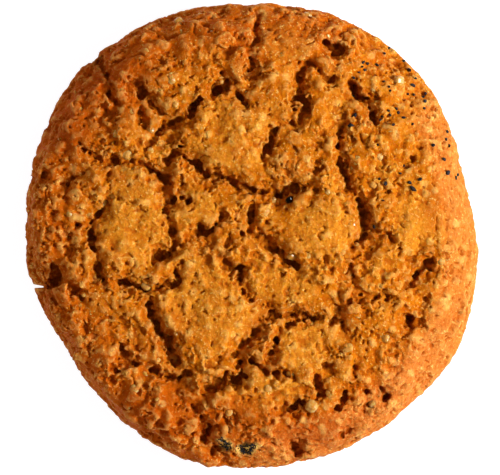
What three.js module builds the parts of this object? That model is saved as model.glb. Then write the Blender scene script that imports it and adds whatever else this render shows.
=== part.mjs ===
// A ginger snap: one round biscuit whose crust rose, split into plates and set hard. It lies flat on its base.
// Units are millimetres, with +Z up and the origin in the middle of the base.
import * as THREE from "three";
import { ImprovedNoise } from "three/addons/math/ImprovedNoise.js";

// Driving dimensions of the dough
const RIM_RADII = [
  29.1, 28.8, 29.6, 30.2, 30.7, 30.4, 29.7, 30.5, 30.5, 30.7, 30.2, 29.6,
  29.0, 28.7, 28.1, 28.6, 29.4, 30.1, 30.1, 30.1, 30.2, 30.2, 30.6, 30.0,
]; // every 15 degrees, counter-clockwise from +X
const MEAN_RADIUS = 29.8;
const BASE_RADIUS = 27.2;
const CROWN_HEIGHT = 11;
const SHOULDER_HEIGHT = 8.4;
const WAIST_HEIGHT = 4; // where the biscuit is widest

// Half section at the mean radius: crown, shoulder, waist and base edge
const SECTION = new THREE.SplineCurve([
  new THREE.Vector2(0, CROWN_HEIGHT),
  new THREE.Vector2(0.45 * MEAN_RADIUS, CROWN_HEIGHT - 0.4),
  new THREE.Vector2(0.72 * MEAN_RADIUS, CROWN_HEIGHT - 1.1),
  new THREE.Vector2(0.88 * MEAN_RADIUS, SHOULDER_HEIGHT),
  new THREE.Vector2(MEAN_RADIUS, WAIST_HEIGHT),
  new THREE.Vector2(0.975 * MEAN_RADIUS, 1.4),
  new THREE.Vector2(BASE_RADIUS, 0),
]);

// Crumb relief: swells of whole plates, lumps within a plate and single crumbs, as [size, height]
const RELIEF = [[9, 0.8], [3.8, 0.9], [1.8, 0.75]];
const RELIEF_FADE_HEIGHT = 2.5; // the relief dies out below this, so that the base stays flat

// Cracks between the plates, as routes over the top in plan
const CRACKS = {
  under_crown: { width: 1.3, depth: 2.6, route: [[-8.6, 10.5], [-5.7, 8.5], [-1.6, 6.8], [4.2, 5.2], [8.6, 6.1]] },
  crown_left: { width: 0.9, depth: 2, route: [[-10.5, 9.2], [-9.1, 11.7], [-10.1, 12.5]] },
  crown_right: { width: 0.8, depth: 2, route: [[3.1, 13.8], [3.1, 12.4], [1.8, 9.8]] },
  crown_top: { width: 1, depth: 2, route: [[-0.8, 17.2], [-4.2, 18.5], [-9.1, 15.1], [-12.5, 12.1]] },
  brow: { width: 1.4, depth: 2.5, route: [[7.9, 22.6], [6.2, 18.7], [7.7, 16.5], [4.7, 13.4]] },
  top_seam: { width: 0.8, depth: 1.4, route: [[0.5, 29.5], [0.8, 25.1], [0, 21.6]] },
  ear: { width: 1, depth: 2.1, route: [[13, 19.5], [15.5, 16.7], [16, 13.7]] },
  right_gorge: { width: 1.4, depth: 2.7, route: [[11.4, 11.2], [12, 8.3], [15.1, 1], [13.2, -2.6], [13.3, -6.4]] },
  right_sill: { width: 0.9, depth: 1.8, route: [[11.2, -10.7], [12.1, -8.6], [16.9, -8.1]] },
  right_nick: { width: 1, depth: 2, route: [[23.5, -3], [20.5, -5.9]] },
  right_pit: { width: 1.8, depth: 2.2, route: [[20.2, -10.4], [20.8, -11.3]] },
  left_shelf: { width: 0.8, depth: 1.8, route: [[-23.4, 12.5], [-19.2, 9.5], [-13.5, 9.3]] },
  left_gorge: { width: 1.5, depth: 2.7, route: [[-13.5, 9.3], [-10.8, 6.8], [-8.1, 4.2]] },
  left_bank: { width: 0.9, depth: 2.1, route: [[-17.7, 5.2], [-20.4, 2], [-19.2, -5]] },
  left_inlet: { width: 0.8, depth: 1.7, route: [[-20.4, 2], [-23, 0.5], [-23.7, -2.5]] },
  left_gash: { width: 1.2, depth: 2.3, route: [[-19.4, 22.5], [-18.3, 19.4], [-17.2, 17.6]] },
  left_notch: { width: 1.2, depth: 2.4, route: [[-29.5, -6.6], [-26.8, -6.6], [-24.7, -5]] },
  left_floor: { width: 0.9, depth: 2.1, route: [[-19.4, -5.7], [-13.3, -6.9], [-10, -6.2], [-9.4, -3.9]] },
  heart: { width: 1, depth: 2.3, route: [[-2.6, 2.5], [-5.1, 0.3], [-9, -0.6], [-12.5, -3]] },
  middle_gorge: { width: 1.3, depth: 2.8, route: [[0.3, 6], [0, 1.6], [1.7, -1], [6.2, -3.8]] },
  belly: { width: 1.1, depth: 2.4, route: [[-3.4, -2.5], [-1.3, -4.3], [0.3, -8.4]] },
  diagonal: { width: 1.2, depth: 2.5, route: [[-13, -7.3], [-12.6, -10.5], [-9, -16.5]] },
  apron: { width: 1.4, depth: 2.6, route: [[2, -9.2], [5.5, -10.3], [9, -10.4]] },
  apron_left: { width: 0.9, depth: 2, route: [[5.1, -10.9], [2.3, -15.6]] },
  apron_slot: { width: 1, depth: 2.2, route: [[1.3, -11.6], [-0.6, -14.3]] },
  skirt: { width: 1, depth: 2.1, route: [[-2.5, -15.7], [0.5, -16.1], [5.6, -17.7]] },
  left_step: { width: 1, depth: 2.2, route: [[-17.2, -15.7], [-14, -16.4], [-10.7, -18.3], [-8.6, -17.9]] },
  chin: { width: 1.1, depth: 2.4, route: [[-6.5, -18.5], [-4, -19], [-1.3, -17.3]] },
  left_foot: { width: 0.9, depth: 1.9, route: [[-7.8, -21.6], [-5, -24], [-5.7, -26]] },
  right_foot: { width: 1.1, depth: 2, route: [[4.3, -22.2], [8.3, -20.9], [8.6, -18.3]] },
  heel_pit: { width: 1.5, depth: 1.6, route: [[5.2, -26.4], [5.9, -27.6]] },
};
const CRACK_END_SHARE = 0.45; // depth left at a crack's ends, as a share of its full depth
const CRACK_LIP = 0.45; // width of the sloping lip outside a crack's walls

// Mesh of rings: each ring has six vertices more than the one inside it, up to the most
const CRUST_RINGS = 41;
const RING_STEP = 6;
const MOST_PER_RING = 216;
const BASE_RINGS = [[0.75, 108], [0.5, 54], [0.25, 18], [0, 1]]; // share of the base radius, vertices
const SNAP_SHARE = 0.42; // vertices this near a crack, as a share of the ring spacing, move onto it

const rim = new THREE.CatmullRomCurve3(
  RIM_RADII.map((radius, index) => {
    const angle = (2 * Math.PI * index) / RIM_RADII.length;
    return new THREE.Vector3(radius * Math.cos(angle), radius * Math.sin(angle), 0);
  }),
  true,
);
const ringSpacing = SECTION.getLength() / CRUST_RINGS;
const noise = new ImprovedNoise();

// Crumb relief at a place on the crust, in and out along its normal
function reliefAt(place) {
  let height = 0;
  for (const [size, swing] of RELIEF) {
    height += swing * noise.noise(place.x / size, place.y / size, place.z / size);
  }
  return height * THREE.MathUtils.smoothstep(place.z, 0, RELIEF_FADE_HEIGHT);
}

// Nearest place on one crack's route, with its distance and how far along the route it is, from 0 to 1
function nearestOnCrack(crack, plan) {
  let nearest = { distance: Infinity };
  const legs = crack.route.length - 1;
  for (let leg = 0; leg < legs; leg += 1) {
    const line = new THREE.Line3(
      new THREE.Vector3(...crack.route[leg], 0),
      new THREE.Vector3(...crack.route[leg + 1], 0),
    );
    const share = line.closestPointToPointParameter(plan, true);
    const place = line.at(share, new THREE.Vector3());
    const distance = place.distanceTo(plan);
    if (distance < nearest.distance) {
      nearest = { distance, place, along: (leg + share) / legs };
    }
  }
  return nearest;
}

// Depth of one crack at a distance from its route: full between its walls, tapering to its ends and lips
function crackDepth(crack, { distance, along }) {
  const ends = CRACK_END_SHARE + (1 - CRACK_END_SHARE) * (1 - Math.abs(2 * along - 1) ** 3);
  const wall = crack.width / 2;
  return crack.depth * ends * (1 - THREE.MathUtils.smoothstep(distance, 0.5 * wall, wall + CRACK_LIP));
}

// One vertex of the crust: on the section and rim, then out by its relief and in by the deepest crack there
function crustVertex(section, tangent, turn) {
  const vertex = rim.getPoint(turn).multiplyScalar(section.x / MEAN_RADIUS);
  vertex.z = section.y;
  const radial = new THREE.Vector3(vertex.x, vertex.y, 0).normalize();
  const outward = radial.multiplyScalar(-tangent.y).setZ(tangent.x);
  let depth = 0;
  for (const crack of Object.values(CRACKS)) {
    const plan = new THREE.Vector3(vertex.x, vertex.y, 0);
    const nearest = nearestOnCrack(crack, plan);
    if (nearest.distance < SNAP_SHARE * ringSpacing && section.y > WAIST_HEIGHT) {
      vertex.setX(nearest.place.x).setY(nearest.place.y);
      nearest.distance = 0;
    }
    depth = Math.max(depth, crackDepth(crack, nearest));
  }
  const fade = THREE.MathUtils.smoothstep(vertex.z, 0, RELIEF_FADE_HEIGHT);
  return vertex.addScaledVector(outward, reliefAt(vertex) - depth * fade);
}

// Rings of vertices, from the crown over the rim to the middle of the base
const vertices = [];
const rings = [];
function addRing(ringVertices) {
  rings.push({ start: vertices.length, count: ringVertices.length });
  vertices.push(...ringVertices);
}

for (let ring = 0; ring <= CRUST_RINGS; ring += 1) {
  const section = SECTION.getPointAt(ring / CRUST_RINGS);
  const tangent = SECTION.getTangentAt(ring / CRUST_RINGS);
  const count = Math.max(1, Math.min(RING_STEP * ring, MOST_PER_RING));
  addRing(Array.from({ length: count }, (_, index) => crustVertex(section, tangent, index / count)));
}
for (const [share, count] of BASE_RINGS) {
  const scale = (share * BASE_RADIUS) / MEAN_RADIUS;
  addRing(Array.from({ length: count }, (_, index) => rim.getPoint(index / count).multiplyScalar(scale)));
}

// Triangles that join one ring to the next, walking round both together
function joinRings(inner, outer) {
  const triangles = [];
  let i = 0;
  let o = 0;
  const innerTurns = inner.count > 1 ? inner.count : 0;
  const outerTurns = outer.count > 1 ? outer.count : 0;
  while (i < innerTurns || o < outerTurns) {
    const here = inner.start + (i % inner.count);
    const there = outer.start + (o % outer.count);
    const outerNext = i >= innerTurns || (o < outerTurns && (o + 1) * innerTurns <= (i + 1) * outerTurns);
    if (outerNext) {
      o += 1;
      triangles.push(here, there, outer.start + (o % outer.count));
    } else {
      i += 1;
      triangles.push(here, there, inner.start + (i % inner.count));
    }
  }
  return triangles;
}

const triangles = rings.slice(1).flatMap((ring, index) => joinRings(rings[index], ring));

const geometry = new THREE.BufferGeometry().setFromPoints(vertices);
geometry.setIndex(triangles);
geometry.computeVertexNormals();

const bakedCrust = new THREE.MeshStandardMaterial({ color: 0xb9692a, roughness: 0.92, metalness: 0 });
const biscuit = new THREE.Mesh(geometry, bakedCrust);
biscuit.name = "biscuit";

const gingerSnap = new THREE.Group();
gingerSnap.add(biscuit);

export default gingerSnap;
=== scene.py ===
# Looks of one ginger snap: a cracked, crumbly round with sugar grains, spice specks and two charred patches.
# Pieces are modelled in millimetres, with +Z up and the origin in the middle of the base, then set in metres.
import math
import random

import bpy
import numpy as np
from mathutils import Euler, Matrix, Vector, noise
from mathutils.bvhtree import BVHTree


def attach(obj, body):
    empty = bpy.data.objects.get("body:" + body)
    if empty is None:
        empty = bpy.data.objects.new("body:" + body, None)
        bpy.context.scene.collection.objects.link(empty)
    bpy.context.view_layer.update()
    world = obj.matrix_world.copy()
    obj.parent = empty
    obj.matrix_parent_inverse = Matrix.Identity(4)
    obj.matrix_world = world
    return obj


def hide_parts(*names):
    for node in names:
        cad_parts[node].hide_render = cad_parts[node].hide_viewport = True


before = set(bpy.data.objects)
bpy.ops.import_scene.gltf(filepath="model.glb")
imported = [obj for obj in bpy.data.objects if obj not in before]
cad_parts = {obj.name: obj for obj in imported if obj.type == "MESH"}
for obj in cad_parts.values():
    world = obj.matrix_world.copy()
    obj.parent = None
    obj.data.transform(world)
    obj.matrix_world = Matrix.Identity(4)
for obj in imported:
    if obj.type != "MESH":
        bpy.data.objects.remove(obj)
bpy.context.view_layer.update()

MM = 0.001
UP = Vector((0, 0, 1))
DOWN = Vector((0, 0, -1))
FLAT = (1, 1, 0)

# Photograph: its frame, the pixel over the origin and the size of a pixel at the biscuit
PHOTO_WIDTH = 500
PHOTO_HEIGHT = 475
PHOTO_ORIGIN = np.array((250, 236))
PIXEL_MM = 0.13

# Noise: how far apart seeds lie in it, and the table and factors that spread random lumps in space
SEED_SHIFT = np.array((17.3, 5.1, 29.7))
LUMP_TABLE = 4096
LUMP_FACTORS = (73856093, 19349663, 83492791)

# Dough, with the solid's own sizes; the rim's radii are every 15 degrees, counter-clockwise from +X
RIM_RADII = (
    29.1, 28.8, 29.6, 30.2, 30.7, 30.4, 29.7, 30.5, 30.5, 30.7, 30.2, 29.6,
    29.0, 28.7, 28.1, 28.6, 29.4, 30.1, 30.1, 30.1, 30.2, 30.2, 30.6, 30.0,
)
RIM_STEPS = 8
MEAN_RADIUS = 29.8
BASE_RADIUS = 27.2
CROWN_HEIGHT = 11
SHOULDER_HEIGHT = 8.4
WAIST_HEIGHT = 4
SECTION = (
    (BASE_RADIUS, 0),
    (0.975 * MEAN_RADIUS, 1.4),
    (MEAN_RADIUS, WAIST_HEIGHT),
    (0.88 * MEAN_RADIUS, SHOULDER_HEIGHT),
    (0.72 * MEAN_RADIUS, CROWN_HEIGHT - 1.1),
    (0.45 * MEAN_RADIUS, CROWN_HEIGHT - 0.4),
    (0.02 * MEAN_RADIUS, CROWN_HEIGHT),
)
SECTION_STEPS = 24
ROUND_SIDES = 128

# Sides that differ, as directions from the middle: a fuller shoulder, a rim with a painted sheen and a smooth
# shoulder
FULL_SIDE = math.radians(200)
FULLNESS = 0.06
FULL_HEIGHT = 2
# The rim is painted paler on the lit side, a painted sheen where the light would shine on it
SHEEN_SIDE = math.radians(18)
SHEEN_PALENESS = 0.8
SMOOTH_SIDE = math.radians(-25)
SMOOTH_RADII = (23.5, 27)

# Sculpting: voxel sizes, the triangles that the crust keeps, and the height below which its relief fades out
DOUGH_VOXEL = 0.2
FLAKE_VOXEL = 0.19
CRUMB_VOXEL = 0.15
CRUST_TRIANGLES = 188000
CRUST_FADE_HEIGHT = 2.5

# Swells and lumps of the dough and crumbs of the crust, each as a size and a rise
DOUGH_SWELLS = ((6, 0.8), (2.8, 0.35), (1.4, 0.1))
DOUGH_LUMPS = ((3.2, 0.36), (1.7, 0.22))
CRUST_CRUMBS = ((0.8, 0.05), (0.42, 0.05))

# How far outlines stray, as sizes and swings: those of the lumps, of the cracks and of the charred patches
LUMP_BENDS = ((2.5, 0.6), (0.9, 0.2))
CRACK_BENDS = ((3, 0.7), (1.4, 0.45), (0.7, 0.22))
CRACK_FRAYS = ((1.6, 0.5), (0.8, 0.4))
CHAR_BENDS = ((0.9, 0.3), (0.4, 0.14))

# Cracks: how far they open beside their stated width, their least half width, the width of their lips, how
# far in their bottoms begin as a share of the width, and how far round them valleys and all shaping reach
CRACK_OPENNESS = 1.06
OPENNESS_SWING = 0.45
CRACK_HALF_WIDTH = 0.26
CRACK_LIP = 0.05
LIP_SWING = 0.12
CRACK_SLOPE = 0.4
VALLEY_REACH = 1.2
CRACK_REACH = 2.4

# Pits: their depth beside a crack's, and half their length and their two ends as shares of their width
PIT_DEPTH = 0.52
PIT_HALF_LENGTH = 0.45
PIT_ENDS = (0.65, 0.35)

# Torn crust: the sizes and rises of the swells that it is torn across, and the layers that come off
TEARS = ((3.4, 0.8), (1.6, 0.5), (0.8, 0.35))
TEAR_STEP = 0.3
TEAR_START = 0.45
TEAR_LAYERS = 2
TEAR_EDGE = 0.3

# Where patches begin to fade and end, as shares of their reach, and how soft the charred patches' edges are
PLATE_INNER = 0.65
DARK_PATCH_INNER = 0.3
PATCH_OUTER = 1.1
CHAR_EDGE = 0.3

# Width of the crumbs that cracks and tears break along, and how closely they keep to them
CRACK_CRUMB = 0.55
TORN_CRUMB = 0.6
CRUMB_PULL = 0.85

# Round grains of the crust: their width and how far they stand out
CRUST_GRAIN = 0.95
GRAIN_RISE = 0.115

# Sugar just under the crust: the space for one grain, a grain's half width as a share of it, and its rise
BURIED_SPACE = 1.5
BURIED_HALF_WIDTH = 0.45
BURIED_RISE = 0.12

# How much smoother the plates and the smooth shoulder are than broken crust, how much barer of flakes and
# crumbs, and how far out these lie, as a share of the outline's radius
PLATE_SMOOTHNESS = 0.76
SHOULDER_SMOOTHNESS = 0.62
PLATE_BARENESS = 0.85
SHOULDER_BARENESS = 0.9
TOP_REACH = 0.95

# Flat flakes of broken crust; the section of each is radii and heights
FLAKE_SHAPES = 8
FLAKE_CORNERS = 15
FLAKE_SECTION = ((0.5, -0.5), (0.425, 0.5))
FLAKE_WIDTHS = (1.3, 3.4)
FLAKE_THICKNESS = 1.4
FLAKE_RISE = 0.34
FLAKE_TILT = 0.13
TOP_FLAKES = 420

# Crumbs on the crust and along the edges of the cracks; a span is a least and a greatest share of a width
CRUMB_SHAPES = 6
LEAST_CRUMB = 0.4
CRUMB_SPANS = ((0.8, 1.3), (0.7, 1.1), (0.5, 0.8))
CRUMB_SUNK = (0.08, 0.32)
TOP_CRUMBS = 160
EDGE_CRUMB_STEP = 2

# Height that things are dropped on the crust from, and how they move inwards where they miss it
DROP_HEIGHT = 50
DROP_INWARDS = 0.995

# Cracks between the plates, as places in the photograph with the crack's width there, all in pixels
CRACKS = {
    "left_gash": ((100, 62, 3), (105, 73, 6), (108, 86, 9), (112, 95, 6), (118, 104, 3)),
    "upper_left_valley": ((138, 84, 3), (146, 95, 5), (151, 106, 4), (162, 117, 3)),
    "upper_left_fork": ((144, 108, 3), (144, 126, 2)),
    "crown_shoulder": ((205, 99, 5), (190, 110, 9), (178, 121, 10), (165, 128, 7), (155, 138, 4),
                       (152, 147, 2)),
    "crown_notch": ((222, 76, 4), (224, 88, 8), (215, 96, 7)),
    "crown_top": ((214, 97, 5), (228, 94, 7), (240, 100, 6), (245, 105, 3)),
    "top_seam": ((255, 14, 2), (253, 31, 3), (257, 43, 4), (251, 53, 3), (253, 63, 2), (249, 73, 2)),
    "brow": ((311, 60, 4), (303, 72, 6), (298, 84, 6), (298, 97, 7), (306, 107, 11), (299, 118, 7),
             (288, 129, 5)),
    "brow_right": ((311, 62, 4), (316, 70, 5), (325, 77, 4), (335, 82, 3)),
    "brow_pit": ((323, 45, 6), (329, 50, 10), (336, 55, 6)),
    "ear": ((350, 86, 5), (358, 97, 8), (368, 104, 8), (371, 118, 8), (373, 131, 5)),
    "ear_lobe": ((340, 122, 3), (337, 135, 5), (337, 149, 6)),
    "left_shelf": ((68, 139, 3), (78, 142, 4), (92, 157, 6), (102, 163, 6), (120, 162, 5), (146, 164, 6)),
    "left_gorge": ((146, 164, 6), (160, 173, 9), (167, 183, 12), (172, 196, 9), (180, 200, 7),
                   (190, 205, 5)),
    "left_rim": ((32, 186, 3), (38, 183, 6), (47, 179, 3)),
    "left_scratch": ((70, 176, 2), (70, 188, 4), (68, 202, 2)),
    "left_bank": ((115, 195, 3), (106, 206, 5), (103, 214, 6), (93, 222, 7), (95, 236, 7), (99, 252, 6),
                  (101, 279, 5)),
    "left_inlet": ((93, 223, 5), (80, 224, 4), (75, 230, 3), (71, 236, 2), (66, 247, 2), (68, 255, 2),
                   (60, 262, 2)),
    "left_notch": ((46, 287, 2), (52, 287, 4), (59, 283, 6), (62, 277, 7), (58, 270, 6), (52, 266, 4)),
    "notch_tear": ((48, 289, 3), (54, 300, 4), (57, 306, 3)),
    "left_floor": ((100, 281, 4), (110, 280, 5), (118, 281, 8), (132, 287, 6), (150, 289, 6), (165, 285, 5),
                   (173, 284, 6), (175, 271, 6), (180, 264, 4)),
    "crown_left": ((168, 165, 5), (175, 152, 7), (182, 146, 5), (172, 140, 3)),
    "under_crown": ((184, 156, 4), (193, 160, 8), (202, 169, 10), (221, 178, 12), (238, 184, 9),
                    (252, 188, 8)),
    "bead_valley": ((252, 189, 7), (262, 192, 9), (276, 194, 12), (289, 191, 11), (304, 191, 5),
                    (319, 189, 2)),
    "crown_right": ((273, 129, 4), (274, 141, 6), (264, 152, 5), (265, 161, 4)),
    "bead_slit": ((308, 174, 2), (312, 172, 3), (318, 167, 3)),
    "heart_left": ((171, 200, 4), (166, 210, 5), (168, 218, 5), (174, 232, 6), (178, 241, 7), (170, 251, 8),
                   (153, 259, 3)),
    "heart": ((178, 243, 5), (188, 237, 5), (197, 231, 6), (210, 234, 9), (215, 226, 7), (221, 214, 6),
              (229, 217, 4)),
    "middle_gorge": ((252, 190, 5), (254, 208, 6), (250, 223, 11), (253, 233, 10), (262, 242, 9),
                     (270, 249, 8), (282, 252, 7), (286, 260, 7), (297, 264, 4)),
    "middle_fork": ((249, 231, 6), (238, 237, 5), (226, 241, 3)),
    "belly": ((223, 254, 5), (230, 264, 11), (240, 268, 8), (242, 280, 6), (246, 292, 5), (252, 301, 4)),
    "right_gorge": ((337, 147, 5), (342, 172, 9), (350, 188, 10), (357, 203, 11), (362, 216, 12),
                    (366, 229, 11), (361, 241, 9), (352, 250, 6), (351, 264, 4), (349, 277, 3),
                    (356, 287, 2)),
    "right_spur": ((372, 232, 5), (380, 235, 7), (388, 234, 7), (392, 241, 7)),
    "right_sill": ((334, 318, 4), (343, 302, 4), (352, 297, 4), (364, 295, 4), (378, 296, 4),
                   (386, 298, 3)),
    "right_hook": ((333, 318, 3), (342, 321, 4), (345, 331, 3), (344, 337, 2)),
    "right_nick": ((408, 281, 6), (417, 274, 8), (425, 265, 8), (431, 258, 4)),
    "diagonal": ((150, 291, 6), (148, 303, 8), (153, 316, 10), (162, 335, 10), (168, 347, 9),
                 (180, 362, 7)),
    "left_step": ((117, 357, 4), (130, 361, 7), (142, 362, 7), (156, 372, 8), (172, 377, 7), (180, 373, 12),
                  (190, 369, 4)),
    "left_step_branch": ((118, 340, 3), (122, 350, 4), (126, 355, 3)),
    "apron": ((265, 303, 4), (267, 310, 6), (280, 312, 6), (292, 315, 9), (302, 318, 13), (312, 317, 7),
              (321, 317, 3)),
    "apron_left": ((289, 318, 6), (284, 329, 6), (277, 341, 6), (271, 348, 6), (268, 357, 5)),
    "apron_slot": ((262, 322, 5), (252, 332, 8), (245, 346, 7)),
    "skirt": ((230, 357, 4), (243, 361, 6), (255, 358, 3), (276, 370, 6), (292, 372, 4)),
    "chin": ((243, 362, 7), (240, 372, 7), (232, 379, 7), (222, 381, 8), (210, 383, 8), (202, 378, 4)),
    "left_foot": ((190, 403, 3), (200, 411, 6), (210, 418, 8), (217, 422, 5)),
    "left_toe": ((208, 424, 7), (205, 436, 6)),
    "right_foot": ((317, 376, 4), (314, 382, 5), (322, 390, 6), (312, 396, 5), (302, 397, 4)),
    "right_foot_pit": ((283, 407, 8), (290, 406, 14), (297, 404, 8), (302, 402, 5), (314, 411, 4)),
    "right_toe": ((348, 388, 3), (341, 393, 4), (344, 399, 5), (338, 406, 4)),
    "heel_pit": ((292, 436, 4), (293, 445, 13), (296, 450, 6)),
    "right_heel": ((377, 388, 4), (384, 395, 8), (387, 399, 4)),
    "left_ledge": ((78, 177, 3), (84, 173, 4)),
    "notch_scratch": ((70, 282, 3), (75, 292, 5), (80, 299, 3)),
    "notch_groove": ((52, 291, 4), (57, 304, 3)),
    "ear_bridge": ((337, 140, 4), (346, 140, 4)),
    "right_toe_scratch": ((357, 386, 3), (364, 392, 4)),
    "right_toe_groove": ((370, 399, 4), (366, 408, 3)),
    "right_shin": ((356, 365, 4), (357, 374, 3)),
    "right_sole": ((340, 436, 2), (350, 430, 3)),
    "right_pit": ((403, 316, 8), (408, 320, 15), (412, 326, 6)),
    "char_ledge": ((211, 441, 4), (216, 447, 7), (223, 451, 2), (231, 455, 2)),
}

# Slit that splits the rim on the left: its open and its closed end and its widths there, in pixels
RIM_SLIT = ((24, 285.5, 6), (44, 286.8, 1.5))

# Single pits, as places in the photograph and widths, in pixels
PITS = (
    (105, 178, 10), (54, 192, 5), (408, 163, 8), (418, 152, 8), (342, 186, 6), (367, 195, 5), (391, 194, 6),
    (420, 198, 5), (407, 308, 5), (397, 353, 7), (427, 347, 5), (330, 368, 7), (328, 350, 5), (112, 370, 8),
    (76, 357, 5), (69, 338, 5), (142, 429, 6), (223, 458, 6), (215, 447, 6), (246, 423, 6), (258, 415, 6),
    (228, 418, 5), (272, 419, 6), (177, 392, 5), (147, 394, 5), (160, 424, 4), (178, 424, 4), (298, 294, 5),
    (432, 112, 4), (434, 125, 4), (430, 150, 4), (437, 175, 4), (447, 188, 3), (456, 214, 3), (464, 241, 4),
    (458, 270, 3), (433, 138, 4), (449, 203, 2), (463, 232, 2), (459, 252, 3), (366, 404, 5), (360, 389, 4),
    (236, 346, 5), (113, 384, 5),
)

# Broad hollows and swells of the crust, as a place and a reach in pixels and a height in millimetres
SWELLS = (
    (280, 192, 22, -0.6), (374, 255, 22, -0.3), (56, 274, 9, -0.5), (181, 374, 15, -0.6),
    (165, 134, 18, -0.5), (205, 428, 12, -0.5), (230, 140, 34, 0.5), (135, 222, 32, 0.4),
    (312, 226, 34, 0.55), (203, 300, 34, 0.4), (420, 215, 40, 0.3), (48, 240, 30, 0.5), (50, 190, 24, 0.35),
    (256, 42, 46, 0.9), (26, 268, 12, 0.6), (48, 325, 20, 0.35), (268, 186, 14, -0.35),
    (292, 100, 34, 0.45), (300, 163, 28, 0.55), (326, 282, 28, 0.5), (234, 392, 28, 0.5),
    (424, 112, 28, 0.4), (152, 72, 28, 0.6),
)

# Smooth golden plates, as a place in the photograph and reaches across and along it, in pixels
PLATES = (
    (232, 140, 46, 40), (135, 222, 38, 44), (196, 212, 26, 24), (318, 230, 37, 28), (204, 300, 44, 44),
    (285, 284, 40, 20), (185, 262, 24, 18), (240, 318, 24, 22), (265, 390, 44, 20), (300, 345, 30, 22),
    (420, 215, 34, 40), (330, 330, 20, 16), (280, 44, 36, 20),
)

# Patches that are darker, given like the plates: the two on the upper left are painted shade of a band
# sloping away from the light
DARK_PATCHES = ((104, 84, 72, 72), (70, 128, 36, 38), (170, 408, 70, 42), (225, 416, 60, 34), (312, 429, 60, 24))

# Large sugar grains that stand out, as places in pixels, and small ones at random within a radius
SUGAR_PLACES = (
    (147, 52), (125, 47), (83, 95), (61, 141), (77, 109), (137, 113), (120, 114), (150, 126), (113, 134),
    (125, 151), (134, 173), (135, 166), (118, 184), (117, 195), (103, 208), (115, 212), (50, 229),
    (72, 211), (102, 300), (85, 305), (58, 312), (132, 387), (245, 14), (200, 15), (175, 25), (178, 37),
    (213, 33), (175, 67), (170, 77), (180, 80), (178, 110), (283, 57), (277, 85), (257, 112), (295, 18),
    (337, 22), (308, 18), (374, 110), (396, 83), (370, 88), (390, 120), (405, 125), (393, 132), (403, 106),
    (376, 155), (360, 160), (348, 167), (343, 250), (287, 255), (304, 254), (279, 212), (264, 212),
    (297, 331), (343, 345), (389, 335), (405, 287), (422, 279), (435, 262), (148, 282), (316, 416),
    (290, 371), (314, 399), (333, 393), (195, 383), (225, 409), (272, 391), (294, 394), (202, 438),
    (376, 398), (158, 406), (190, 340), (170, 322),
)
LARGE_SUGAR = (1, 1.4)
MORE_SUGAR = 110
SMALL_SUGAR = (0.5, 0.9)
SUGAR_RADIUS = 28
SUGAR_SPANS = 3 * ((0.75, 1.1),)
SUGAR_SUNK = 0.6

# Dark specks of spice, as places and widths in pixels
SPECK_PLACES = (
    (389, 48, 3), (384, 54, 3), (376, 66, 4), (366, 65, 4), (362, 64, 3), (361, 68, 3), (364, 71, 3),
    (358, 74, 3), (353, 79, 3), (383, 83, 3), (388, 88, 3), (389, 92, 3), (352, 97, 3), (353, 117, 5),
    (350, 127, 5), (387, 112, 3), (389, 116, 3), (381, 118, 3), (379, 121, 3), (395, 110, 3), (397, 114, 3),
    (402, 119, 3), (392, 126, 3), (411, 125, 3), (409, 70, 4), (404, 61, 3), (415, 79, 3), (412, 86, 4),
    (407, 95, 3), (413, 95, 3), (422, 98, 4), (424, 102, 4), (423, 109, 3), (425, 94, 3), (376, 146, 3),
    (447, 132, 3), (445, 140, 3), (448, 146, 3), (432, 146, 3), (443, 160, 4), (446, 173, 5), (457, 175, 3),
    (455, 178, 3), (402, 166, 3), (399, 174, 3), (418, 180, 4), (408, 183, 4), (411, 189, 6), (384, 184, 4),
    (378, 180, 3), (382, 201, 3), (373, 227, 4),
)
SPECK_SCALE = 1.25
SPECK_SPANS = ((0.8, 1.3), (0.6, 1), (0.5, 0.8))
SPECK_RISE = 0.1

# One glossy bead, as a place in pixels, its size and turn, and how far its middle stands over the crust
BEAD_PLACE = (289, 200)
BEAD_SIZE = (1.15, 0.8, 0.8)
BEAD_TURN = Euler((0.2, 0.1, 0.6))
BEAD_RISE = 0.35

# Charred patches near the bottom, as routes like those of the cracks
CHARS = {
    "left_char": ((219, 439, 5), (226, 441, 8), (231, 446, 6)),
    "left_char_dot": ((222, 444, 3), (229, 448, 4)),
    "right_char": ((240, 446, 6), (248, 446, 9), (255, 445, 8)),
    "right_char_tail": ((253, 449, 5), (246, 452, 5), (237, 449, 3)),
}
CHAR_CRUMBS = 9
CHAR_CRUMB_WIDTHS = (0.2, 0.4)


# Places, noise and curves
def on_biscuit(pixels):
    """Places in the photograph as places on the biscuit, in millimetres."""
    pixels = np.asarray(pixels, float)
    return (pixels[..., :2] - PHOTO_ORIGIN) * (PIXEL_MM, -PIXEL_MM)


def smoothstep(value, low, high):
    """From 0 at low to 1 at high, with soft ends."""
    share = np.clip((value - low) / (high - low), 0, 1)
    return share * share * (3 - 2 * share)


def at_least(least, share):
    """From that least to 1 as the share goes from 0 to 1."""
    return least + (1 - least) * share


def direction(points):
    """The direction of each place from the middle, seen from above."""
    return np.arctan2(points[:, 1], points[:, 0])


def towards(points, side, low, high):
    """From 0 to 1 for places that lie towards that side, between these cosines of the angle to it."""
    return smoothstep(np.cos(direction(points) - side), low, high)


def above_base(points):
    """From 0 on the flat base to 1 where the crust has its full relief."""
    return smoothstep(points[:, 2], 0, CRUST_FADE_HEIGHT)


def swell(points, size, seed):
    """Smooth noise from about -1 to 1 whose swells are about that size, the same on every run."""
    shifted = points / size + seed * SEED_SHIFT
    return np.array([noise.noise(place) for place in shifted.tolist()])


def swells(points, octaves, seed):
    """The sum of smooth swells, each with its size and rise."""
    total = np.zeros(len(points))
    for index, (size, rise) in enumerate(octaves):
        total += rise * swell(points, size, seed + index)
    return total


def lumpy(points, swing, size, seed):
    """Places pushed from the origin or towards it, by up to that share of their distance."""
    return points * (1 + swing * swell(points, size, seed))[:, None]


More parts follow.
